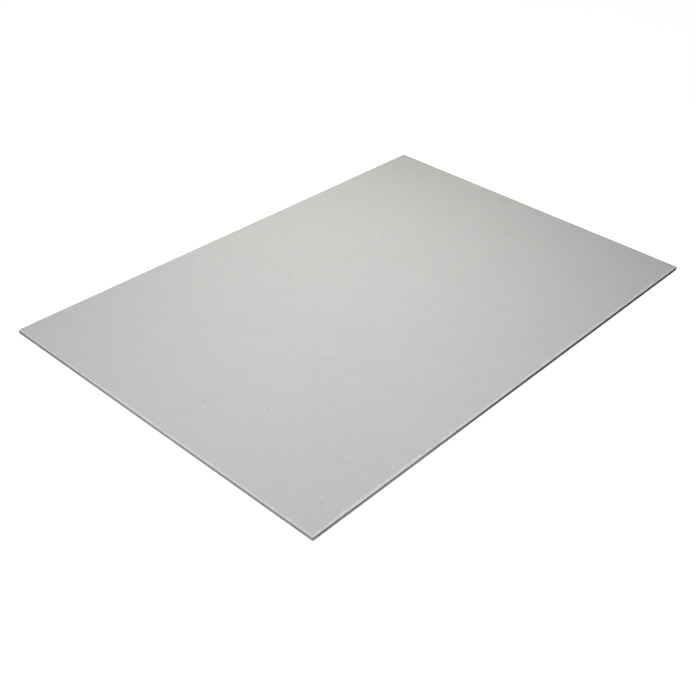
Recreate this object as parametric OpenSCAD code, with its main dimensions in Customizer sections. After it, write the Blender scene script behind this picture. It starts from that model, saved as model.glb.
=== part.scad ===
// Drywall sheet: one flat rectangular board with square sawn edges.
// The board lies on its back, +X along its length and +Y along its width.
// The origin is at the middle of the back side, and all sizes are in millimetres.

/* [Sheet] */
// Length of the board, along X
sheet_length = 1500; // [300:10:3000]
// Width of the board, along Y
sheet_width = 1000; // [200:10:1250]
// Thickness of the board, along Z
sheet_thickness = 10; // [6:0.5:25]

/* [Arrises] */
// Radius of the eased arris all round the face side
face_arris = 1.5; // [0.2:0.1:2.5]
// Radius of the eased arris all round the back side
back_arris = 0.5; // [0.2:0.1:2.5]
// Radius of the four upright corners in plan
corner_radius = 1.5; // [0.2:0.1:6]

/* [Hidden] */
// flat steps in each eased arris and in each upright corner
arris_steps = 4;
// how far each section is run past the board that it trims
trim_overrun = 5;

// Points of a quarter circle of radius r about centre, from angle start on.
function quarter_arc(centre, r, start) = [
    for (step = [0:arris_steps])
        let (angle = start + 90 * step / arris_steps)
        centre + r * [cos(angle), sin(angle)]
];

// Section across a board of the given span, standing on its back side:
// square sides, with the face and back arrises eased by their own radii.
module edge_section(span) {
    side = span / 2;
    top = sheet_thickness;
    polygon(concat(
        quarter_arc([side - back_arris, back_arris], back_arris, -90),
        quarter_arc([side - face_arris, top - face_arris], face_arris, 0),
        quarter_arc([face_arris - side, top - face_arris], face_arris, 90),
        quarter_arc([back_arris - side, back_arris], back_arris, 180)
    ));
}

// Outline of the board seen from above, with its corners taken off.
module plan_outline() {
    x = sheet_length / 2 - corner_radius;
    y = sheet_width / 2 - corner_radius;
    polygon(concat(
        quarter_arc([x, y], corner_radius, 0),
        quarter_arc([-x, y], corner_radius, 90),
        quarter_arc([-x, -y], corner_radius, 180),
        quarter_arc([x, -y], corner_radius, 270)
    ));
}

// Runs a section that is drawn upright in the XZ plane along Y.
module run_along_y(run) {
    rotate([90, 0, 0])
        linear_extrude(height = run + 2 * trim_overrun, center = true)
            children();
}

// The board: its plan, trimmed by the section across each pair of edges.
module drywall_sheet() {
    color("gainsboro")
        intersection() {
            linear_extrude(height = sheet_thickness)
                plan_outline();
            run_along_y(sheet_width)
                edge_section(sheet_length);
            rotate([0, 0, 90])
                run_along_y(sheet_length)
                    edge_section(sheet_width);
        }
}

drywall_sheet();
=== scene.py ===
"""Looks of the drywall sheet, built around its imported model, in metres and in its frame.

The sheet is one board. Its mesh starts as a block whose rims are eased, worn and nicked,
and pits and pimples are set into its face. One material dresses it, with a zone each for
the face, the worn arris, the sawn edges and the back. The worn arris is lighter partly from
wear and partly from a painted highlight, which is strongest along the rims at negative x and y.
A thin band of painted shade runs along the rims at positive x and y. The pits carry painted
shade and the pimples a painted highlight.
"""

import logging
import math
import random
from dataclasses import dataclass, field
from enum import Enum

import bmesh
import bpy
from mathutils import Matrix, Vector, noise

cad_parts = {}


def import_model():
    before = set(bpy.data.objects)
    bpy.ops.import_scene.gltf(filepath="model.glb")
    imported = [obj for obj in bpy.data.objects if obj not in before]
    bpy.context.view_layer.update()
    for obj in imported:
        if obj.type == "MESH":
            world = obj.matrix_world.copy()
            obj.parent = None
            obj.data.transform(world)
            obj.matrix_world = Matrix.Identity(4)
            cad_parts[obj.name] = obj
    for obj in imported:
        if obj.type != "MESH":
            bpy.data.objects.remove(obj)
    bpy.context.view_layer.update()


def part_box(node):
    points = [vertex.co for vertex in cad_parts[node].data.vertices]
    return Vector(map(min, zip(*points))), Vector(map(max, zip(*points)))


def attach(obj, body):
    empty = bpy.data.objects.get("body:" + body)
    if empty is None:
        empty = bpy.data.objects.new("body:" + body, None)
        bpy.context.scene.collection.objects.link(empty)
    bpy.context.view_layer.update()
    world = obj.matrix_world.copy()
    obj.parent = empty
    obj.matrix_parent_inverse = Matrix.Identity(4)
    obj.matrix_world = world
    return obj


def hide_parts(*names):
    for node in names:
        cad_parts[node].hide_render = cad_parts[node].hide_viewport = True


LOG = logging.getLogger("drywall_sheet")
FLAT_MAP = "OFBake"
MM = 0.001
# How far in from the rims at positive x and y the band of painted shade starts, and where it becomes full,
# in metres.
FAR_RIM_SHADE_END = (9 * MM, 5 * MM)
FAR_RIM_SHADE_SIDE = (6.5 * MM, 3 * MM)

Socket = bpy.types.NodeSocket
Value = Socket | float | tuple[float, ...]


class Mark(Enum):
    """What a small mark in the face is. The value is the sign of its painted tone: painted shade in a pit,
    painted highlight on a pimple.
    """

    PIT = -1.0
    PIMPLE = 1.0


# --------------------------------------------------------------------------------------
# Node building
# --------------------------------------------------------------------------------------


class Graph:
    """Places nodes in one shader tree and links them."""

    def __init__(self, tree: bpy.types.NodeTree) -> None:
        """Takes the tree to build in.

        Args:
            tree: A material's, world's or group's node tree.
        """
        self.tree = tree

    def node(self, kind: str, **settings: object) -> bpy.types.Node:
        """Adds a node.

        Args:
            kind: The node's type name.
            **settings: Properties to set on it.

        Returns:
            The new node.
        """
        made = self.tree.nodes.new(kind)
        made.location.x = 180 * len(self.tree.nodes)
        for name, value in settings.items():
            setattr(made, name, value)
        return made

    def feed(self, target: Socket, source: Value) -> None:
        """Links a socket to an input, or sets the input to a constant.

        Args:
            target: The input socket.
            source: An output socket or a constant.
        """
        if isinstance(source, Socket):
            self.tree.links.new(source, target)
        else:
            target.default_value = source

    def math(self, operation: str, *terms: Value, clamp: bool = False) -> Socket:
        """Adds a Math node.

        Args:
            operation: The node's operation.
            *terms: Its inputs in order.
            clamp: Whether the result is kept from 0 to 1.

        Returns:
            The result.
        """
        made = self.node("ShaderNodeMath", operation=operation, use_clamp=clamp)
        for target, term in zip(made.inputs, terms):
            self.feed(target, term)
        return made.outputs[0]

    def ramp(self, value: Value, start: Value, end: Value) -> Socket:
        """Adds a smooth step.

        Args:
            value: What is tested.
            start: The value that gives 0.
            end: The value that gives 1.

        Returns:
            A mask from 0 to 1.
        """
        made = self.node("ShaderNodeMapRange", interpolation_type="SMOOTHSTEP")
        self.feed(made.inputs["Value"], value)
        self.feed(made.inputs["From Min"], start)
        self.feed(made.inputs["From Max"], end)
        return made.outputs["Result"]

    def spread(self, value: Value, low: Value, high: Value) -> Socket:
        """Maps a value from 0 to 1 onto a range.

        Args:
            value: The value, from 0 to 1.
            low: What 0 becomes.
            high: What 1 becomes.

        Returns:
            The mapped value.
        """
        made = self.node("ShaderNodeMapRange", interpolation_type="LINEAR")
        self.feed(made.inputs["Value"], value)
        self.feed(made.inputs["To Min"], low)
        self.feed(made.inputs["To Max"], high)
        return made.outputs["Result"]

    def stretch(self, place: Value, scale: tuple[float, float, float], turn: float = 0.0) -> Socket:
        """Scales a place before a pattern reads it.

        Args:
            place: The coordinates.
            scale: The factor along each axis.
            turn: An angle about the upright axis, in radians, applied before the scale.

        Returns:
            The scaled coordinates.
        """
        made = self.node("ShaderNodeMapping", vector_type="TEXTURE")
        self.feed(made.inputs["Vector"], place)
        made.inputs["Rotation"].default_value = (0.0, 0.0, turn)
        made.inputs["Scale"].default_value = tuple(1.0 / s for s in scale)
        return made.outputs["Vector"]

    def noise(self, place: Value, size: Value, detail: float = 2.0, roughness: float = 0.5) -> Socket:
        """Adds fractal noise.

        Args:
            place: The coordinates, in metres.
            size: How long one wave of the coarsest octave is, in metres.
            detail: How many octaves follow the first.
            roughness: How strong each octave is, as a share of the one before.

        Returns:
            The noise, about 0.5 on average.
        """
        made = self.node("ShaderNodeTexNoise")
        self.feed(made.inputs["Vector"], place)
        scale = self.math("DIVIDE", 1.0, size) if isinstance(size, Socket) else 1.0 / size
        self.feed(made.inputs["Scale"], scale)
        made.inputs["Detail"].default_value = detail
        made.inputs["Roughness"].default_value = roughness
        return made.outputs["Fac"]

    def mix(self, share: Value, first: Value, second: Value, blend: str = "MIX") -> Socket:
        """Mixes two colours.

        Args:
            share: How much of the second shows.
            first: The colour underneath.
            second: The colour on top.
            blend: The blend type.

        Returns:
            The mixed colour.
        """
        made = self.node("ShaderNodeMix", data_type="RGBA", blend_type=blend)
        self.feed(made.inputs[0], share)
        self.feed(made.inputs[6], first)
        self.feed(made.inputs[7], second)
        return made.outputs[2]

    def group(self, tree: bpy.types.NodeTree, **inputs: Value) -> bpy.types.Node:
        """Places a node group.

        Args:
            tree: The group's tree.
            **inputs: Its inputs by name, with underscores for spaces.

        Returns:
            The group node.
        """
        made = self.node("ShaderNodeGroup", node_tree=tree)
        for name, value in inputs.items():
            self.feed(made.inputs[name.replace("_", " ").title()], value)
        return made


class Group:
    """A shader node group with named inputs and outputs, ready to be filled."""

    def __init__(self, name: str, inputs: dict[str, float | None], outputs: list[str]) -> None:
        """Makes the group's tree and its sockets.

        Args:
            name: The group's name.
            inputs: Each input's default, or None for a vector of coordinates.
            outputs: The names of the outputs, each a plain value.
        """
        self.tree = bpy.data.node_groups.new(name, "ShaderNodeTree")
        for title, default in inputs.items():
            kind = "NodeSocketVector" if default is None else "NodeSocketFloat"
            made = self.tree.interface.new_socket(title, in_out="INPUT", socket_type=kind)
            if default is not None:
                made.default_value = default
        for title in outputs:
            self.tree.interface.new_socket(title, in_out="OUTPUT", socket_type="NodeSocketFloat")
        self.graph = Graph(self.tree)
        self.inputs = self.graph.node("NodeGroupInput").outputs
        self.outputs = self.graph.node("NodeGroupOutput").inputs


# --------------------------------------------------------------------------------------
# Effects
# --------------------------------------------------------------------------------------


def zones_group() -> bpy.types.NodeTree:
    """Builds the masks that say which side of the board a point is on.

    Returns:
        A group with masks for the sawn edge, the worn arris, which also carries a painted highlight,
        and the part of it that is bare, the rim of the face, the band of painted shade along the rims
        at positive x and y, and the back.
    """
    group = Group(
        "Board Zones",
        {
            "Place": None,
            "Half Length": 0.75,
            "Half Width": 0.5,
            "Face Level": 0.01,
            "Arris": 0.0015,
            "Worn End": 0.004,
            "Worn Side": 0.007,
            "Arris Band Drop": 0.0038,
            "Rear Rim Share": 0.35,
        },
        ["Sawn Edge", "Worn And Highlit Arris", "Bare And Highlit", "Rim", "Far Rim Shade", "Back"],
    )
    g, place = group.graph, group.inputs["Place"]
    split = g.node("ShaderNodeSeparateXYZ")
    g.feed(split.inputs[0], place)
    x, y, z = split.outputs
    from_end = g.math("SUBTRACT", group.inputs["Half Length"], g.math("ABSOLUTE", x))
    from_side = g.math("SUBTRACT", group.inputs["Half Width"], g.math("ABSOLUTE", y))
    below = g.math("SUBTRACT", group.inputs["Face Level"], z)
    arris = group.inputs["Arris"]
    # The arris band and its painted highlight are widest on the end at negative x and the side at negative
    # y. On the other end and side they shrink to a share of that width.
    front_end = g.math("LESS_THAN", x, 0.0)
    front_side = g.math("LESS_THAN", y, 0.0)
    least = group.inputs["Rear Rim Share"]
    reach_end = g.math("MULTIPLY", group.inputs["Worn End"], g.spread(front_end, least, 1.0))
    reach_side = g.math("MULTIPLY", group.inputs["Worn Side"], g.spread(front_side, least, 1.0))
    on_end = g.ramp(g.math("SUBTRACT", from_end, from_side), 1 * MM, -1 * MM)
    drop = g.math("MULTIPLY", g.math("MULTIPLY", on_end, front_end), group.inputs["Arris Band Drop"])
    ragged = g.math("SUBTRACT", g.noise(place, 4 * MM, 3.0, 0.6), 0.5)
    edge_line = g.math("MULTIPLY_ADD", ragged, arris, g.math("SUBTRACT", below, drop))
    sawn = g.ramp(edge_line, 0.0, g.math("MULTIPLY", arris, 0.4))
    broken = g.math("SUBTRACT", g.noise(place, 16 * MM, 2.0, 0.6), 0.5)
    near_end = g.math("DIVIDE", from_end, reach_end)
    near_side = g.math("DIVIDE", from_side, reach_side)
    nearest = g.math("MINIMUM", near_end, near_side)
    # Lighter band along the face's arris: partly wear, partly a painted highlight.
    worn = g.ramp(g.math("MULTIPLY_ADD", broken, 2.2, nearest), 1.0, 0.7)
    # Painted shade: a thin darker band along the rims at positive x and y.
    far_end = g.math("MULTIPLY", g.ramp(from_end, *FAR_RIM_SHADE_END), g.math("GREATER_THAN", x, 0.0))
    far_side = g.math("MULTIPLY", g.ramp(from_side, *FAR_RIM_SHADE_SIDE), g.math("GREATER_THAN", y, 0.0))
    far_rim_shade = g.math("MAXIMUM", far_end, g.math("MULTIPLY", far_side, 0.5))
    far_rim_shade = g.math("MULTIPLY", far_rim_shade, g.math("SUBTRACT", 1.0, sawn))
    worn = g.math("MULTIPLY", worn, g.math("SUBTRACT", 1.0, far_rim_shade))
    g.feed(group.outputs["Far Rim Shade"], g.math("MULTIPLY", far_rim_shade, g.math("ADD", broken, 1.0)))
    g.feed(group.outputs["Sawn Edge"], sawn)
    g.feed(group.outputs["Worn And Highlit Arris"], g.math("MULTIPLY", worn, g.math("SUBTRACT", 1.0, sawn)))
    # Paler arris below the face on the ends: partly bare gypsum, partly a painted highlight.
    g.feed(group.outputs["Bare And Highlit"], g.math("MULTIPLY", on_end, g.ramp(below, 0.1 * MM, 0.9 * MM)))
    g.feed(group.outputs["Rim"], g.ramp(nearest, 3.2, 1.6))
    g.feed(group.outputs["Back"], g.ramp(z, 0.5 * MM, 0.15 * MM))
    return group.tree


def grain_group() -> bpy.types.NodeTree:
    """Builds the fine fibre grain: short threads that lie in three directions.

    Returns:
        A group with the threads' tone and height.
    """
    group = Group("Fibre Grain", {"Place": None, "Thread": 0.0009}, ["Tone", "Height"])
    g, place = group.graph, group.inputs["Place"]
    threads: Value = 0.0
    for turn, length in ((0.35, 0.16), (1.45, 0.2), (2.5, 0.18)):
        run = g.stretch(place, (length, 1.0, 1.0), turn)
        thread = g.ramp(g.noise(run, group.inputs["Thread"], 1.0), 0.52, 0.74)
        threads = g.math("MAXIMUM", threads, thread)
    pores = g.noise(place, 0.7 * MM, 2.0, 0.7)
    g.feed(group.outputs["Tone"], g.math("MULTIPLY_ADD", pores, 0.5, g.math("MULTIPLY", threads, 0.5)))
    g.feed(group.outputs["Height"], g.math("MULTIPLY_ADD", threads, 0.6, pores))
    return group.tree


def mottle_group() -> bpy.types.NodeTree:
    """Builds the soft clouds of tone in a board that was filtered and pressed wet.

    Returns:
        A group with the clouds' tone and hue, each about 0.5 on average.
    """
    group = Group("Mottle", {"Place": None, "Patch": 0.12}, ["Tone", "Hue"])
    g, place = group.graph, group.inputs["Place"]
    wide = g.noise(place, group.inputs["Patch"], 2.0, 0.55)
    close = g.noise(place, g.math("MULTIPLY", group.inputs["Patch"], 0.16), 2.0, 0.6)
    clouds = g.math("MULTIPLY_ADD", wide, 0.5, close)
    g.feed(group.outputs["Tone"], g.math("SUBTRACT", clouds, 0.25))
    turned = g.stretch(place, (1.0, 1.0, 1.0), 1.1)
    hue = g.noise(turned, g.math("MULTIPLY", group.inputs["Patch"], 0.4), 2.0, 0.6)
    g.feed(group.outputs["Hue"], g.ramp(hue, 0.34, 0.66))
    return group.tree


def flecks_group() -> bpy.types.NodeTree:
    """Builds a thin scatter of small round flecks.

    Returns:
        A group with a mask of the flecks.
    """
    group = Group("Flecks", {"Place": None, "Spacing": 0.012, "Radius": 0.0007, "Share": 0.4}, ["Mask"])
    g = group.graph
    cells = g.node("ShaderNodeTexVoronoi", feature="F1", distance="EUCLIDEAN")
    g.feed(cells.inputs["Vector"], group.inputs["Place"])
    g.feed(cells.inputs["Scale"], g.math("DIVIDE", 1.0, group.inputs["Spacing"]))
    distance = g.math("MULTIPLY", cells.outputs["Distance"], group.inputs["Spacing"])
    pick = g.node("ShaderNodeSeparateColor")
    g.feed(pick.inputs[0], cells.outputs["Color"])
    chosen = g.math("LESS_THAN", pick.outputs["Red"], group.inputs["Share"])
    radius = g.math("MULTIPLY", group.inputs["Radius"], g.spread(pick.outputs["Green"], 0.5, 1.4))
    spot = g.ramp(distance, radius, g.math("MULTIPLY", radius, 0.4))
    g.feed(group.outputs["Mask"], g.math("MULTIPLY", spot, chosen))
    return group.tree


def saw_group() -> bpy.types.NodeTree:
    """Builds the marks of the saw: upright scratches, torn pores and a dusty film.

    Returns:
        A group with the marks' tone and height.
    """
    group = Group("Saw Marks", {"Place": None, "Pitch": 0.0022}, ["Tone", "Height"])
    g, place = group.graph, group.inputs["Place"]
    upright = g.stretch(place, (1.0, 1.0, 0.08))
    scratches = g.noise(upright, group.inputs["Pitch"], 3.0, 0.65)
    pores = g.ramp(g.noise(place, 1.3 * MM, 2.0, 0.6), 0.44, 0.3)
    film = g.noise(place, 30 * MM, 3.0, 0.6)
    tone = g.math("MULTIPLY_ADD", film, 0.5, g.math("MULTIPLY", scratches, 0.5))
    g.feed(group.outputs["Tone"], g.math("SUBTRACT", tone, g.math("MULTIPLY", pores, 0.25)))
    g.feed(group.outputs["Height"], g.math("SUBTRACT", scratches, g.math("MULTIPLY", pores, 0.8)))
    return group.tree


# --------------------------------------------------------------------------------------
# Finishes
# --------------------------------------------------------------------------------------


@dataclass(frozen=True)
class Finish:
    """Colour, gloss and relief of one zone of the board."""

    dark: tuple[float, float, float]
    light: tuple[float, float, float]
    smooth: float
    rough: float
    relief: float

    def colours(self) -> tuple[tuple[float, ...], tuple[float, ...]]:
        """Returns the dark and the light colour with an alpha of 1."""
        return (*self.dark, 1.0), (*self.light, 1.0)


FACE = Finish((0.582, 0.577, 0.579), (0.654, 0.648, 0.650), 0.62, 0.80, 0.05 * MM)
# Light colours of the worn arris: partly bare gypsum, partly a painted highlight.
ARRIS_WEAR_AND_HIGHLIGHT = Finish((0.68, 0.68, 0.675), (0.90, 0.90, 0.89), 0.85, 0.95, 0.10 * MM)
SAWN = Finish((0.34, 0.34, 0.335), (0.70, 0.70, 0.69), 0.90, 1.00, 0.20 * MM)
BACK = Finish((0.50, 0.497, 0.485), (0.60, 0.597, 0.585), 0.78, 0.92, 0.09 * MM)
# The dark colour serves the dark flecks and rim ticks, and also the painted shade in the pits and along the
# rims at positive x and y. The light colour serves the light flecks, and also the painted highlight on the
# pimples.
DARK_FLECK_AND_SHADE = (0.30, 0.29, 0.28, 1.0)
LIGHT_FLECK_AND_HIGHLIGHT = (0.88, 0.88, 0.87, 1.0)
TINT_WARM = (1.0, 0.997, 0.978, 1.0)
TINT_COOL = (0.984, 1.0, 1.006, 1.0)
DARK_FLECKS = 0.45
LIGHT_FLECKS = 0.6
CHIPS = 0.6
# Strength of the painted shade along the rims at positive x and y.
FAR_RIM_SHADE = 0.22
# Strength of the painted shade in the pits.
PIT_SHADE = 0.9


@dataclass(frozen=True)
class GypsumBoard:
    """The finish of the whole board, with a zone for each kind of surface."""

    half_length: float
    half_width: float
    face_level: float
    arris: float
    worn_end: float = 4.0 * MM
    worn_side: float = 7.0 * MM

    def material(self) -> bpy.types.Material:
        """Builds the board's material.

        Returns:
            The material, patterned on the board's own coordinates.
        """
        made = bpy.data.materials.new("gypsum_board")
        made.use_nodes = True
        g = Graph(made.node_tree)
        shader = made.node_tree.nodes["Principled BSDF"]
        place = g.node("ShaderNodeTexCoord").outputs["Object"]
        zones = g.group(
            zones_group(),
            place=place,
            half_length=self.half_length,
            half_width=self.half_width,
            face_level=self.face_level,
            arris=self.arris,
            worn_end=self.worn_end,
            worn_side=self.worn_side,
        )
        grain = g.group(grain_group(), place=place)
        mottle = g.group(mottle_group(), place=place)
        saw = g.group(saw_group(), place=place)
        tones = [
            (None, FACE, self._face_tone(g, mottle, grain), grain.outputs["Height"]),
            (zones.outputs["Back"], BACK, mottle.outputs["Tone"], grain.outputs["Height"]),
            # The worn arris: partly wear, partly a painted highlight.
            (zones.outputs["Worn And Highlit Arris"], ARRIS_WEAR_AND_HIGHLIGHT, self._arris_tone(g, zones, grain), saw.outputs["Height"]),
            (zones.outputs["Sawn Edge"], SAWN, saw.outputs["Tone"], saw.outputs["Height"]),
        ]
        colour: Value = (0.0, 0.0, 0.0, 1.0)
        roughness: Value = 0.0
        height: Value = 0.0
        for mask, finish, tone, relief in tones:
            dark, light = finish.colours()
            own_colour = g.mix(tone, dark, light)
            own_rough = g.spread(tone, finish.smooth, finish.rough)
            own_height = g.math("MULTIPLY", relief, finish.relief)
            if mask is None:
                colour, roughness, height = own_colour, own_rough, own_height
                continue
            colour = g.mix(mask, colour, own_colour)
            rougher = g.math("SUBTRACT", own_rough, roughness)
            roughness = g.math("ADD", roughness, g.math("MULTIPLY", mask, rougher))
            higher = g.math("SUBTRACT", own_height, height)
            height = g.math("ADD", height, g.math("MULTIPLY", mask, higher))
        tint = g.mix(mottle.outputs["Hue"], TINT_WARM, TINT_COOL)
        colour = self._marks(g, place, zones, g.mix(1.0, colour, tint, "MULTIPLY"))
        bump = g.node("ShaderNodeBump")
        bump.inputs["Distance"].default_value = 1.0
        bump.inputs["Strength"].default_value = 1.0
        g.feed(bump.inputs["Height"], height)
        g.feed(shader.inputs["Base Color"], colour)
        g.feed(shader.inputs["Roughness"], roughness)
        g.feed(shader.inputs["Normal"], bump.outputs["Normal"])
        shader.inputs["Specular IOR Level"].default_value = 0.25
        return made

    def _face_tone(self, g: Graph, mottle: bpy.types.Node, grain: bpy.types.Node) -> Socket:
        """Mixes the clouds and the grain of the face.

        Args:
            g: The material's graph.
            mottle: The clouds.
            grain: The threads.

        Returns:
            The face's tone, from 0 to 1.
        """
        threads = g.math("MULTIPLY", grain.outputs["Tone"], 0.45)
        return g.math("MULTIPLY_ADD", mottle.outputs["Tone"], 0.65, threads, clamp=True)

    def _arris_tone(self, g: Graph, zones: bpy.types.Node, grain: bpy.types.Node) -> Socket:
        """Mixes the grain of the worn arris with the paler tone of its bare part. The lightness is partly
        wear and partly a painted highlight.

        Args:
            g: The material's graph.
            zones: The masks of the board's zones.
            grain: The threads.

        Returns:
            The arris's tone, from 0 to 1.
        """
        threads = g.math("MULTIPLY", grain.outputs["Tone"], 0.9)
        return g.math("MULTIPLY_ADD", zones.outputs["Bare And Highlit"], 0.6, threads, clamp=True)

    def _marks(self, g: Graph, place: Socket, zones: bpy.types.Node, colour: Value) -> Socket:
        """Adds flecks, the painted shade along the rims at positive x and y, the painted shade in the pits
        and the painted highlight on the pimples, to the colour.

        Args:
            g: The material's graph.
            place: The board's coordinates.
            zones: The masks of its zones.
            colour: The colour so far.

        Returns:
            The colour with its marks.
        """
        clean = g.math("SUBTRACT", 1.0, zones.outputs["Sawn Edge"])
        flecks = flecks_group()
        dark = g.group(flecks, place=place, spacing=21 * MM, radius=1.0 * MM, share=0.5)
        turned = g.stretch(place, (1.0, 1.0, 1.0), 0.7)
        light = g.group(flecks, place=turned, spacing=18.5 * MM, radius=1.1 * MM, share=0.5)
        ticks = g.group(flecks, place=place, spacing=15 * MM, radius=1.5 * MM, share=0.5)
        on_rim = g.math("MULTIPLY", ticks.outputs[0], zones.outputs["Rim"])
        for mask, strength, tone in (
            (g.math("MULTIPLY", dark.outputs[0], clean), DARK_FLECKS, DARK_FLECK_AND_SHADE),
            (g.math("MULTIPLY", light.outputs[0], clean), LIGHT_FLECKS, LIGHT_FLECK_AND_HIGHLIGHT),
            (g.math("MULTIPLY", on_rim, clean), CHIPS, DARK_FLECK_AND_SHADE),
            # Painted shade along the rims at positive x and y.
            (zones.outputs["Far Rim Shade"], FAR_RIM_SHADE, DARK_FLECK_AND_SHADE),
        ):
            colour = g.mix(g.math("MULTIPLY", mask, strength), colour, tone)
        # Painted shade in the pits and painted highlight on the pimples, read from the mesh's mark
        # attribute.
        mark = g.node("ShaderNodeAttribute", attribute_name="mark").outputs["Fac"]
        pit_shade = g.math("MULTIPLY", g.math("MAXIMUM", g.math("MULTIPLY", mark, -1.0), 0.0), PIT_SHADE)
        pimple_highlight = g.math("MAXIMUM", mark, 0.0)
        colour = g.mix(pit_shade, colour, DARK_FLECK_AND_SHADE)
        return g.mix(pimple_highlight, colour, LIGHT_FLECK_AND_HIGHLIGHT)


@dataclass(frozen=True)
class StudioFloor:
    """The finish of the pale studio floor, which is clear from below."""

    colour: tuple[float, float, float] = (0.86, 0.86, 0.86)
    glow: float = 0.94
    matte: float = 0.28

    def material(self) -> bpy.types.Material:
        """Builds the floor's material: pale, evenly lit, with a soft contact shadow.

        Returns:
            The material.
        """
        made = bpy.data.materials.new("studio_floor")
        made.use_nodes = True
        graph = Graph(made.node_tree)
        shader = made.node_tree.nodes["Principled BSDF"]
        shader.inputs["Base Color"].default_value = (*(c * self.matte for c in self.colour), 1.0)
        shader.inputs["Roughness"].default_value = 1.0
        shader.inputs["Specular IOR Level"].default_value = 0.0
        shader.inputs["Emission Color"].default_value = (1.0, 1.0, 1.0, 1.0)
        shader.inputs["Emission Strength"].default_value = self.glow
        side = graph.node("ShaderNodeNewGeometry")
        clear = graph.node("ShaderNodeBsdfTransparent")
        both = graph.node("ShaderNodeMixShader")
        graph.feed(both.inputs["Fac"], side.outputs["Backfacing"])
        graph.feed(both.inputs[1], shader.outputs["BSDF"])
        graph.feed(both.inputs[2], clear.outputs["BSDF"])
        graph.feed(made.node_tree.nodes["Material Output"].inputs["Surface"], both.outputs["Shader"])
        return made


# --------------------------------------------------------------------------------------
# The board
# --------------------------------------------------------------------------------------


@dataclass(frozen=True)
class FaceMark:
    """One small mark in the face."""

    kind: Mark
    x: float
    y: float
    radius: float
    depth: float
    turn: float
    long: float
    # How strongly the mark is painted: with shade in a pit, with highlight on a pimple.
    strength: float


@dataclass(frozen=True)
class Plucks:
    """Places where the face was plucked, each a pit with a raised lip near it."""

    count: int = 17
    seed: int = 5
    thickest: float = -0.6
    radius: tuple[float, float] = (1.4 * MM, 3.0 * MM)
    apart: tuple[float, float] = (7 * MM, 14 * MM)
    # How strongly each lip is painted with highlight.
    pale: tuple[float, float] = (0.2, 0.8)
    # How strongly each pit is painted with shade.
    dark: float = 0.7
    lip_size: float = 1.1
    room: float = 40 * MM

    def marks(self, half_length: float, half_width: float, depth: float) -> list[FaceMark]:
        """Draws the pits and their lips, most of them towards the handled end.

        Args:
            half_length: How far along the board a pit may lie from its middle, in metres.
            half_width: How far across the board it may lie, in metres.
            depth: How high a lip stands, in metres.

        Returns:
            Each pit, followed by its lip.
        """
        chance = random.Random(self.seed)
        marks: list[FaceMark] = []
        while len(marks) < 2 * self.count:
            x = chance.triangular(-half_length, half_length, self.thickest * half_length)
            y = chance.uniform(-half_width, half_width)
            radius = chance.triangular(*self.radius, self.radius[0])
            bearing = chance.uniform(0.0, 2 * math.pi)
            apart = chance.uniform(*self.apart)
            pale = chance.uniform(*self.pale)
            if any(math.hypot(mark.x - x, mark.y - y) < self.room for mark in marks):
                continue
            marks.append(FaceMark(Mark.PIT, x, y, radius, depth, bearing, 1.0, self.dark))
            x += apart * math.cos(bearing)
            y += apart * math.sin(bearing)
            lip = self.lip_size * radius
            marks.append(FaceMark(Mark.PIMPLE, x, y, lip, depth, bearing, 1.0, pale))
        return marks


@dataclass
class Wear:
    """How the rims of the board are nicked and crumbled."""

    nick_depth: float = 1.1 * MM
    nick_length: float = 16 * MM
    nick_share: float = 0.62
    nick_rise: float = 1.6
    reach: float = 3.2 * MM
    foot_reach: float = 0.6
    foot_depth: float = 0.5
    foot_corner: float = 0.35
    push_in: float = 0.8
    push_down: float = 0.6
    wave_depth: float = 0.25 * MM
    wave_length: float = 90 * MM
    grit: float = 0.10 * MM
    corner_reach: float = 7 * MM

    def nick(self, place: Vector) -> float:
        """Gives the depth of the nick at a place on the rim.

        Args:
            place: The place, in metres.

        Returns:
            The depth, in metres, which is 0 over most of the rim.
        """
        rise = 0.5 + 0.5 * noise.fractal(place / self.nick_length, 0.9, 2.1, 3)
        share = max(0.0, (rise - self.nick_share) / (1.0 - self.nick_share))
        return self.nick_depth * min(1.0, self.nick_rise * share)

    def wave(self, place: Vector) -> float:
        """Gives how far the saw strayed inwards at a place on an edge.

        Args:
            place: The place, in metres.

        Returns:
            The distance, in metres.
        """
        slow = 0.5 + 0.5 * noise.noise(place / self.wave_length)
        fast = 0.5 + 0.5 * noise.noise(place / (2.5 * MM))
        return self.wave_depth * slow + self.grit * fast


@dataclass(frozen=True)
class Chart:
    """One patch of the board's flat map."""

    corner: tuple[float, float]
    start: tuple[float, float]
    axes: tuple[int, int]
    scales: tuple[float, float]

    def spot(self, place: Vector) -> tuple[float, float]:
        """Gives where a place on the board lies on the map.

        Args:
            place: The place.

        Returns:
            Its spot, in shares of the map.
        """
        u, v = (
            corner + (place[axis] - start) * scale
            for corner, start, axis, scale in zip(self.corner, self.start, self.axes, self.scales)
        )
        return u, v


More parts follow.
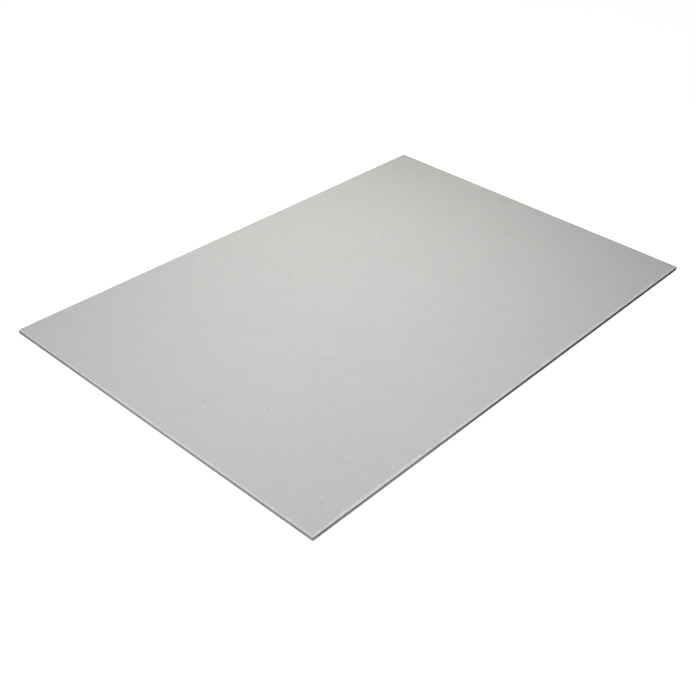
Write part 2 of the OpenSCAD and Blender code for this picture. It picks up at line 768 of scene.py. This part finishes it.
@dataclass(frozen=True)
class FlatMap:
    """The board's flat map.

    The face fills its upper two thirds. The back lies under the face at half the scale. Beside the
    back lie the edges, cut into stretches that are stacked and drawn tall, so that they stay sharp.
    """

    length: float
    width: float
    thickness: float
    gap: float = 0.004
    stretch: float = 0.5
    slack: float = 2.5 * MM
    flat_tilt: float = 0.7

    def lay(self, bm: bmesh.types.BMesh) -> None:
        """Lays every face of the board on the map.

        Args:
            bm: The finished mesh.
        """
        bm.normal_update()
        layer = bm.loops.layers.uv.new(FLAT_MAP)
        scale = (1.0 - 2 * self.gap) / self.length
        back_scale = (1.0 - 3 * self.gap) / self.width - scale
        start = (-self.length / 2, -self.width / 2)
        face = Chart((self.gap, 2 * self.gap + self.width * back_scale), start, (0, 1), (scale, scale))
        back = Chart((self.gap, self.gap), start, (0, 1), (back_scale, back_scale))
        edges = self._edge_charts(back_scale)
        for polygon in bm.faces:
            up = polygon.normal.z
            if abs(up) > self.flat_tilt:
                chart = face if up > 0.0 else back
            else:
                chart = self._edge_chart(polygon, edges)
            for loop in polygon.loops:
                loop[layer].uv = chart.spot(loop.vert.co)

    def _edge_charts(self, back_scale: float) -> dict[tuple[int, bool, int], Chart]:
        """Stacks the stretches of the four edges.

        Args:
            back_scale: The scale of the back, which the stretches lie beside.

        Returns:
            A chart for each axis that an edge faces along, each end of it and each stretch.
        """
        left = 2 * self.gap + self.length * back_scale
        along = (1.0 - self.gap - left) / (self.stretch + 2 * self.slack)
        keys = [
            (axis, positive, part)
            for axis, run in ((0, self.width), (1, self.length))
            for positive in (False, True)
            for part in range(math.ceil(run / self.stretch))
        ]
        pitch = self.width * back_scale / len(keys)
        charts = {}
        for row, (axis, positive, part) in enumerate(keys):
            run = self.width if axis == 0 else self.length
            start = (part * self.stretch - run / 2 - self.slack, 0.0)
            tall = (pitch - self.gap) / self.thickness
            corner = (left, self.gap + row * pitch)
            charts[axis, positive, part] = Chart(corner, start, (1 - axis, 2), (along, tall))
        return charts

    def _edge_chart(
        self, polygon: bmesh.types.BMFace, charts: dict[tuple[int, bool, int], Chart]
    ) -> Chart:
        """Picks the chart of a face on one of the edges.

        Args:
            polygon: The face.
            charts: The charts of the edges.

        Returns:
            The chart.
        """
        axis = 0 if abs(polygon.normal.x) > abs(polygon.normal.y) else 1
        run = self.width if axis == 0 else self.length
        middle = polygon.calc_center_median()[1 - axis] + run / 2
        part = min(max(0, int(middle / self.stretch)), math.ceil(run / self.stretch) - 1)
        return charts[axis, polygon.normal[axis] > 0.0, part]


@dataclass
class DrywallSheet:
    """The whole sheet: one sawn board."""

    length: float
    width: float
    thickness: float
    face_arris: float = 1.5 * MM
    back_arris: float = 0.5 * MM
    corner_radius: float = 2.2 * MM
    rim_step: float = 2.5 * MM
    margin: float = 2.4 * MM
    margin_rows: int = 2
    arris_rows: int = 4
    back_rows: int = 2
    side_rows: int = 4
    pimple_height: float = 0.25 * MM
    pit_depth: float = 1.8
    mark_sides: int = 10
    mark_steps: tuple[tuple[float, float], ...] = ((0.22, 0.55), (0.25, 0.35), (0.25, 0.10))
    mark_room: float = 14 * MM
    pit_share: float = 0.55
    scatter: int = 260
    seed: int = 11
    plucks: Plucks = field(default_factory=Plucks)
    wear: Wear = field(default_factory=Wear)
    corner_wear: dict[tuple[int, int], float] = field(
        default_factory=lambda: {
            (-1, 1): 1.6 * MM,
            (1, 1): 0.5 * MM,
            (1, -1): 0.6 * MM,
            (-1, -1): 0.8 * MM,
        }
    )

    @property
    def face_level(self) -> float:
        """Height of the flat of the face, which the pimples stand on."""
        return self.thickness - self.pimple_height

    def build(self) -> bpy.types.Object:
        """Models and dresses the board.

        Returns:
            The board as one object.
        """
        bm = bmesh.new()
        self._block(bm)
        self._rims(bm)
        self._divide(bm)
        self._wear(bm)
        self._marks(bm)
        self._close(bm)
        FlatMap(self.length, self.width, self.thickness).lay(bm)
        mesh = bpy.data.meshes.new("drywall_board")
        bm.to_mesh(mesh)
        bm.free()
        board = bpy.data.objects.new("drywall_board", mesh)
        bpy.context.scene.collection.objects.link(board)
        finish = GypsumBoard(self.length / 2, self.width / 2, self.face_level, self.face_arris)
        mesh.materials.append(finish.material())
        return board

    def _block(self, bm: bmesh.types.BMesh) -> None:
        """Makes the block that the board is cut from.

        Args:
            bm: The mesh to build in.
        """
        bmesh.ops.create_cube(bm, size=1.0)
        bmesh.ops.scale(bm, vec=(self.length, self.width, self.face_level), verts=bm.verts)
        bmesh.ops.translate(bm, vec=(0.0, 0.0, self.face_level / 2), verts=bm.verts)

    def _rims(self, bm: bmesh.types.BMesh) -> None:
        """Rounds the upright corners, eases both rims and opens the two flats.

        Args:
            bm: The mesh to build in.
        """
        upright = [e for e in bm.edges if self._rise(e) > self.face_level / 2]
        self._bevel(bm, upright, self.corner_radius, 3)
        bmesh.ops.subdivide_edges(
            bm,
            edges=[e for e in bm.edges if self._rise(e) > self.face_level / 2],
            cuts=self.side_rows - 1,
            use_grid_fill=True,
        )
        flats = sorted(bm.faces, key=lambda f: f.calc_area())[-2:]
        face = max(flats, key=lambda f: f.calc_center_median().z)
        back = min(flats, key=lambda f: f.calc_center_median().z)
        self._bevel(bm, face.edges, self.face_arris, self.arris_rows)
        self._bevel(bm, self._flat(bm, -1.0).edges, self.back_arris, self.back_rows)
        for up, arris, rows in ((1.0, self.face_arris, self.margin_rows), (-1.0, self.back_arris, 1)):
            self._open_flat(bm, self._flat(bm, up), arris, rows)

    def _open_flat(self, bm: bmesh.types.BMesh, flat: bmesh.types.BMFace, arris: float, rows: int) -> None:
        """Takes a flat away and leaves a margin round its rim, with square inner corners.

        Args:
            bm: The mesh to build in.
            flat: The face or the back.
            arris: The radius of the arris round it.
            rows: How many rows the margin has.
        """
        loop = list(flat.edges)
        bmesh.ops.delete(bm, geom=[flat], context="FACES_ONLY")
        for row in range(rows):
            grown = bmesh.ops.extrude_edge_only(bm, edges=loop)["geom"]
            loop = [item for item in grown if isinstance(item, bmesh.types.BMEdge)]
            inset = arris + (row + 1) * self.margin
            verts = {vert for edge in loop for vert in edge.verts}
            for vert in verts:
                for axis, run in ((0, self.length), (1, self.width)):
                    limit = run / 2 - inset
                    vert.co[axis] = max(-limit, min(limit, vert.co[axis]))
            bmesh.ops.remove_doubles(bm, verts=list(verts), dist=0.01 * MM)
            loop = [e for e in bm.edges if e.is_boundary and all(v in verts for v in e.verts if v.is_valid)]

    def _rise(self, edge: bmesh.types.BMEdge) -> float:
        """Returns how far an edge climbs."""
        return abs(edge.verts[0].co.z - edge.verts[1].co.z)

    def _flat(self, bm: bmesh.types.BMesh, up: float) -> bmesh.types.BMFace:
        """Finds one of the two large flats.

        Args:
            bm: The mesh to look in.
            up: 1 for the face, -1 for the back.

        Returns:
            The flat.
        """
        return max((f for f in bm.faces if f.normal.z * up > 0.9), key=lambda f: f.calc_area())

    def _bevel(self, bm: bmesh.types.BMesh, edges: list, radius: float, rows: int) -> None:
        """Rounds some edges.

        Args:
            bm: The mesh to build in.
            edges: The edges to round.
            radius: The radius of the rounding.
            rows: How many flat rows it has.
        """
        bmesh.ops.bevel(
            bm,
            geom=list(edges),
            offset=radius,
            offset_type="OFFSET",
            segments=rows,
            profile=0.5,
            affect="EDGES",
            material=-1,
            clamp_overlap=True,
        )

    def _divide(self, bm: bmesh.types.BMesh) -> None:
        """Divides the rims along their length, finely enough for nicks.

        Args:
            bm: The mesh to build in.
        """
        for axis, run in ((0, self.length), (1, self.width)):
            along = [e for e in bm.edges if abs(e.verts[0].co[axis] - e.verts[1].co[axis]) > run / 2]
            cuts = round(run / self.rim_step) - 1
            bmesh.ops.subdivide_edges(bm, edges=along, cuts=cuts, use_grid_fill=True)

    def _outward(self, place: Vector) -> Vector:
        """Gives the level direction that leaves the board at a place on its rim.

        Args:
            place: The place.

        Returns:
            A level unit vector, which turns through the corners.
        """
        reach = self.wear.corner_reach
        along = max(0.0, 1.0 - (self.length / 2 - abs(place.x)) / reach)
        across = max(0.0, 1.0 - (self.width / 2 - abs(place.y)) / reach)
        way = Vector((math.copysign(along, place.x), math.copysign(across, place.y), 0.0))
        return way.normalized() if way.length > 0 else Vector((0.0, 0.0, 0.0))

    def _wear(self, bm: bmesh.types.BMesh) -> None:
        """Nicks the arrises, crumbles the corners and roughens the sawn edges.

        Args:
            bm: The mesh to build in.
        """
        wear = self.wear
        bm.normal_update()
        for vert in bm.verts:
            if vert.is_boundary:
                continue
            place = vert.co.copy()
            inside = min(self.length / 2 - abs(place.x), self.width / 2 - abs(place.y))
            below = self.face_level - place.z
            outward = self._outward(place)
            from_arris = math.hypot(max(0.0, inside), max(0.0, below))
            from_back = math.hypot(max(0.0, inside), max(0.0, place.z))
            top = max(0.0, 1.0 - from_arris / wear.reach)
            foot = max(0.0, 1.0 - from_back / (wear.foot_reach * wear.reach))
            elsewhere = place + Vector((5.0, 3.0, 0.0))
            cut = wear.nick(place) * top + wear.foot_depth * wear.nick(elsewhere) * foot
            cut += self._corner_cut(place) * max(top, wear.foot_corner * foot)
            vert.co -= outward * cut * wear.push_in
            if top > foot:
                vert.co.z -= cut * wear.push_down
            under_face = max(0.0, below / self.face_arris - 0.4)
            over_back = max(0.0, place.z / self.back_arris - 0.4)
            if inside < self.face_arris:
                vert.co -= outward * wear.wave(place) * min(1.0, under_face, over_back)

    def _corner_cut(self, place: Vector) -> float:
        """Gives how deep the crumbling of the nearest corner is at a place.

        Args:
            place: The place.

        Returns:
            The depth, in metres.
        """
        side = (1 if place.x > 0 else -1, 1 if place.y > 0 else -1)
        corner = Vector((side[0] * self.length / 2, side[1] * self.width / 2, place.z))
        near = max(0.0, 1.0 - (place - corner).length / self.wear.corner_reach)
        return self.corner_wear[side] * near * (0.8 + 0.4 * noise.noise(place / (3 * MM)))

    def _face_marks(self) -> list[FaceMark]:
        """Draws the strong marks and scatters faint ones round them.

        Returns:
            The marks, with room between them.
        """
        chance = random.Random(self.seed)
        clear = self.face_arris + (self.margin_rows + 2) * self.margin
        reach = clear + self.plucks.apart[1]
        lip_height = 0.9 * self.pimple_height
        marks = self.plucks.marks(self.length / 2 - reach, self.width / 2 - reach, lip_height)
        strong = len(marks)
        while len(marks) < strong + self.scatter:
            x = chance.uniform(-1, 1) * (self.length / 2 - clear)
            y = chance.uniform(-1, 1) * (self.width / 2 - clear)
            if any(math.hypot(m.x - x, m.y - y) < self.mark_room for m in marks):
                continue
            kind = Mark.PIT if chance.random() < self.pit_share else Mark.PIMPLE
            radius = chance.triangular(1.0, 2.8, 1.6) * MM
            depth = self.pimple_height * chance.uniform(0.4, 0.8)
            turn = chance.uniform(0, math.pi)
            long = chance.uniform(1.0, 1.5)
            strength = chance.triangular(0.1, 0.4, 0.15)
            marks.append(FaceMark(kind, x, y, radius, depth, turn, long, strength))
        return marks

    def _marks(self, bm: bmesh.types.BMesh) -> None:
        """Sets the pits and pimples at the level of the face, ready for it to be filled in, and gives their
        vertices the strength of their painted shade or painted highlight.

        Args:
            bm: The mesh to build in.
        """
        tone = bm.verts.layers.float.new("mark")
        for mark in self._face_marks():
            spot = (
                Matrix.Translation((mark.x, mark.y, self.face_level))
                @ Matrix.Rotation(mark.turn, 4, "Z")
                @ Matrix.Diagonal((mark.long, 1.0, 1.0, 1.0))
            )
            ring = bmesh.ops.create_circle(
                bm, cap_ends=True, segments=self.mark_sides, radius=mark.radius, matrix=spot
            )
            floor = ring["verts"][0].link_faces[0]
            rise = mark.depth if mark.kind is Mark.PIMPLE else -self.pit_depth * mark.depth
            for share, step in self.mark_steps:
                inset = share * mark.radius
                bmesh.ops.inset_individual(bm, faces=[floor], thickness=inset, use_even_offset=True)
                for vert in floor.verts:
                    vert.co.z += step * rise
                    # Painted shade for a pit, painted highlight for a pimple.
                    vert[tone] = mark.kind.value * mark.strength

    def _close(self, bm: bmesh.types.BMesh) -> None:
        """Fills in the face and the back, and sets which faces shade smoothly.

        Args:
            bm: The mesh to build in.
        """
        for side in bm.faces:
            side.smooth = True
        for level in (self.face_level, 0.0):
            rim = [
                e for e in bm.edges
                if e.is_boundary and all(abs(v.co.z - level) < 1e-6 for v in e.verts)
            ]
            filled = bmesh.ops.triangle_fill(bm, use_beauty=True, edges=rim, normal=(0.0, 0.0, 1.0))
            for item in filled["geom"]:
                if isinstance(item, bmesh.types.BMFace):
                    item.smooth = False
        bmesh.ops.recalc_face_normals(bm, faces=bm.faces)


# --------------------------------------------------------------------------------------
# The studio
# --------------------------------------------------------------------------------------


@dataclass(frozen=True)
class Softbox:
    """One round soft lamp."""

    name: str
    place: tuple[float, float, float]
    aim: tuple[float, float, float]
    size: float
    power: float
    colour: tuple[float, float, float]

    def hang(self) -> None:
        """Hangs the lamp and turns it to its aim."""
        lamp = bpy.data.lights.new(self.name, "AREA")
        lamp.shape = "DISK"
        lamp.size = self.size
        lamp.energy = self.power
        lamp.color = self.colour
        hung = bpy.data.objects.new(self.name, lamp)
        hung.location = self.place
        way = Vector(self.aim) - Vector(self.place)
        hung.rotation_euler = way.to_track_quat("-Z", "Y").to_euler()
        bpy.context.scene.collection.objects.link(hung)


SOFTBOXES = (
    Softbox("overhead", (-0.297, -0.096, 1.82), (-0.297, -0.096, 0.0), 0.7, 18.3, (0.99, 0.985, 1.035)),
    Softbox("far_side", (0.363, 0.521, 1.23), (0.363, 0.521, 0.0), 0.7, 6.5, (0.99, 1.0, 0.83)),
    Softbox("near_end", (-2.5, -0.9, 0.7), (-0.7, 0.0, 0.0), 0.8, 13.0, (1.0, 0.99, 1.03)),
    Softbox("low_side", (-0.54, -1.1, 0.07), (-0.54, -0.5, 0.005), 0.1, 0.95, (1.0, 1.0, 1.0)),
    Softbox("low_end", (-1.35, 0.08, 0.07), (-0.75, 0.08, 0.005), 0.1, 0.58, (1.0, 1.0, 1.0)),
)


@dataclass(frozen=True)
class Studio:
    """The floor, the lights and the camera."""

    floor_radius: float = 24.0
    floor_sides: int = 64
    cove_radius: float = 4.0
    cove_rows: int = 6
    wall_height: float = 24.0
    floor_gap: float = 0.2 * MM
    air_strength: float = 0.19
    under_strength: float = 0.0
    air_rise: float = 0.25
    air_colour: tuple[float, float, float] = (0.97, 0.99, 1.03)
    aim: tuple[float, float, float] = (-0.2533, -0.0644, 0.0)
    distance: float = 2.6148
    azimuth: float = -48.68
    elevation: float = 35.19
    roll: float = 2.787
    lens: float = 54.72
    shift: tuple[float, float] = (0.0363, -0.0007)
    sight: float = 100.0

    def build(self) -> None:
        """Sets up the whole studio."""
        self._floor()
        for softbox in SOFTBOXES:
            softbox.hang()
        self._air()
        self._camera()
        bpy.context.scene.view_settings.view_transform = "Standard"

    def _floor(self) -> None:
        """Lays the floor, whose rim sweeps up into a wall all round."""
        bm = bmesh.new()
        bmesh.ops.create_circle(bm, cap_ends=True, segments=self.floor_sides, radius=self.floor_radius)
        radius = self.floor_radius
        for step in range(1, self.cove_rows + 2):
            turn = 0.5 * math.pi * min(1.0, step / self.cove_rows)
            grown = self.floor_radius + self.cove_radius * math.sin(turn)
            height = self.cove_radius * (1.0 - math.cos(turn))
            if step > self.cove_rows:
                height = self.wall_height
            rim = bmesh.ops.extrude_edge_only(bm, edges=[e for e in bm.edges if e.is_boundary])["geom"]
            verts = [item for item in rim if isinstance(item, bmesh.types.BMVert)]
            bmesh.ops.scale(bm, vec=(grown / radius, grown / radius, 1.0), verts=verts)
            bmesh.ops.translate(bm, vec=(0.0, 0.0, height - verts[0].co.z), verts=verts)
            radius = grown
        bmesh.ops.translate(bm, vec=(0.0, 0.0, -self.floor_gap), verts=bm.verts)
        bmesh.ops.recalc_face_normals(bm, faces=bm.faces)
        if bm.faces[0].normal.z < 0.0:
            bmesh.ops.reverse_faces(bm, faces=bm.faces)
        for face in bm.faces:
            face.smooth = True
        mesh = bpy.data.meshes.new("studio_floor")
        bm.to_mesh(mesh)
        bm.free()
        floor = bpy.data.objects.new("studio_floor", mesh)
        bpy.context.scene.collection.objects.link(floor)
        mesh.materials.append(StudioFloor().material())
        floor.visible_diffuse = False
        floor.visible_glossy = False

    def _air(self) -> None:
        """Fills the studio with soft light from above, which fades out at the horizon."""
        world = bpy.data.worlds.new("studio_air")
        world.use_nodes = True
        back = world.node_tree.nodes["Background"]
        back.inputs["Color"].default_value = (*self.air_colour, 1.0)
        graph = Graph(world.node_tree)
        way = graph.node("ShaderNodeSeparateXYZ")
        graph.feed(way.inputs[0], graph.node("ShaderNodeTexCoord").outputs["Generated"])
        above = graph.ramp(way.outputs["Z"], 0.0, self.air_rise)
        strength = graph.spread(above, self.under_strength, self.air_strength)
        graph.feed(back.inputs["Strength"], strength)
        bpy.context.scene.world = world

    def _camera(self) -> None:
        """Stands the camera at eye height, looking down on the sheet."""
        camera = bpy.data.cameras.new("camera")
        camera.lens = self.lens
        camera.shift_x, camera.shift_y = self.shift
        camera.clip_end = self.sight
        stand = bpy.data.objects.new("camera", camera)
        turn = (
            Matrix.Rotation(math.radians(self.azimuth), 4, "Z")
            @ Matrix.Rotation(math.radians(90.0 - self.elevation), 4, "X")
            @ Matrix.Rotation(math.radians(self.roll), 4, "Z")
        )
        back = turn @ Vector((0.0, 0.0, self.distance))
        stand.matrix_world = Matrix.Translation(Vector(self.aim) + back) @ turn
        bpy.context.scene.collection.objects.link(stand)
        bpy.context.scene.camera = stand


def main() -> None:
    """Loads the frame, builds the board and the studio, and reports each piece."""
    logging.basicConfig(level=logging.INFO, format="%(name)s: %(message)s")
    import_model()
    low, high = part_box("drywall_sheet")
    size = high - low
    sheet = DrywallSheet(size.x, size.y, size.z)
    board = sheet.build()
    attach(board, "root")
    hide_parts("drywall_sheet")
    LOG.info("%s: %d faces", board.name, len(board.data.polygons))
    Studio().build()


if __name__ == "__main__":
    main()
